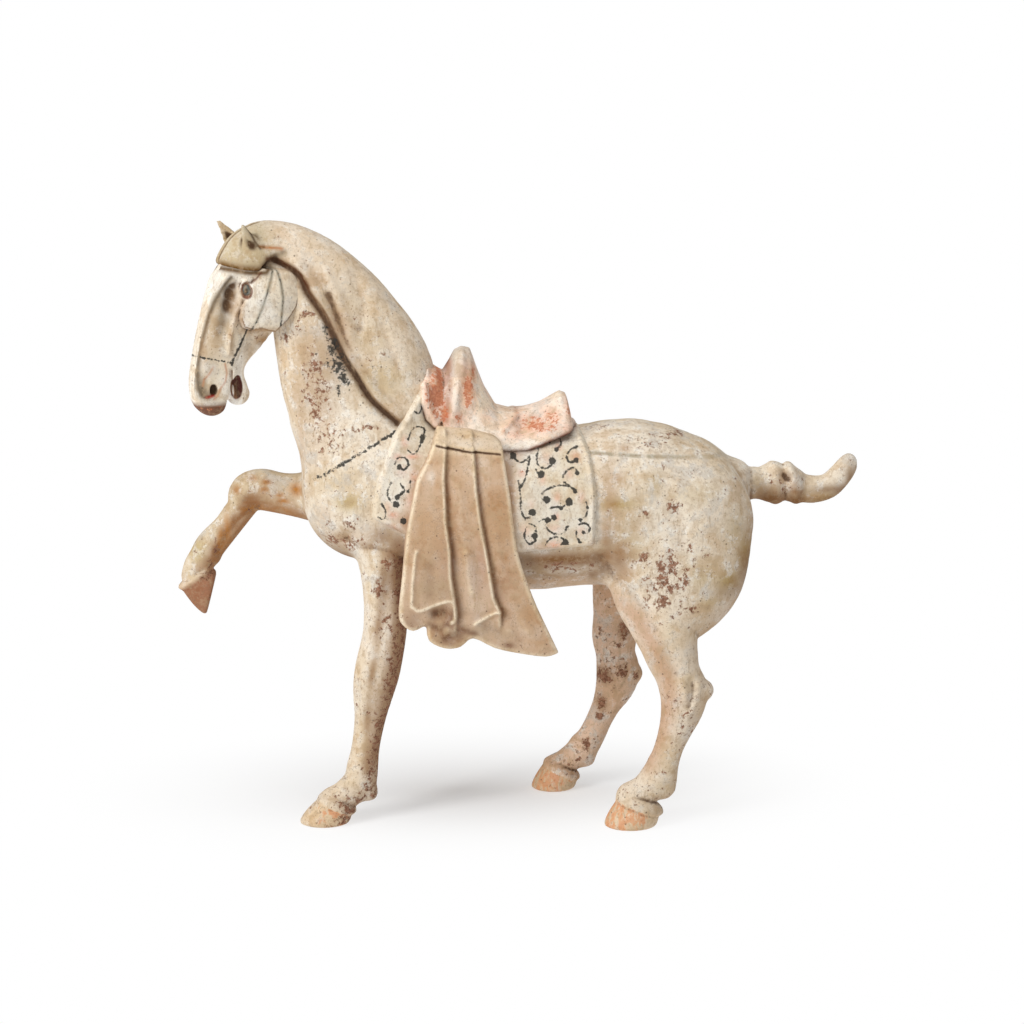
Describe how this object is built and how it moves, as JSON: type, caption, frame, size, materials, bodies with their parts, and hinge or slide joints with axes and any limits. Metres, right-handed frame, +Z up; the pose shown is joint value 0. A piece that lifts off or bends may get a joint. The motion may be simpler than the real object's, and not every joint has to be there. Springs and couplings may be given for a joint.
{
  "type": "painted pottery tomb horse",
  "caption": "Prancing pottery horse with arched neck, raised foreleg, saddle, painted blanket and a gathered cloth, standing on its hooves.",
  "frame": {"origin": "middle of the footprint, at the level of the soles", "axes": "+X from the head towards the tail, the horse facing -X; +Y to the horse's right; +Z up"},
  "size_m": [0.585, 0.164, 0.515],
  "materials": {
    "painted_clay": "matte"
  },
  "bodies": {
    "root": {"horse": "painted_clay"}
  },
  "joints": []
}
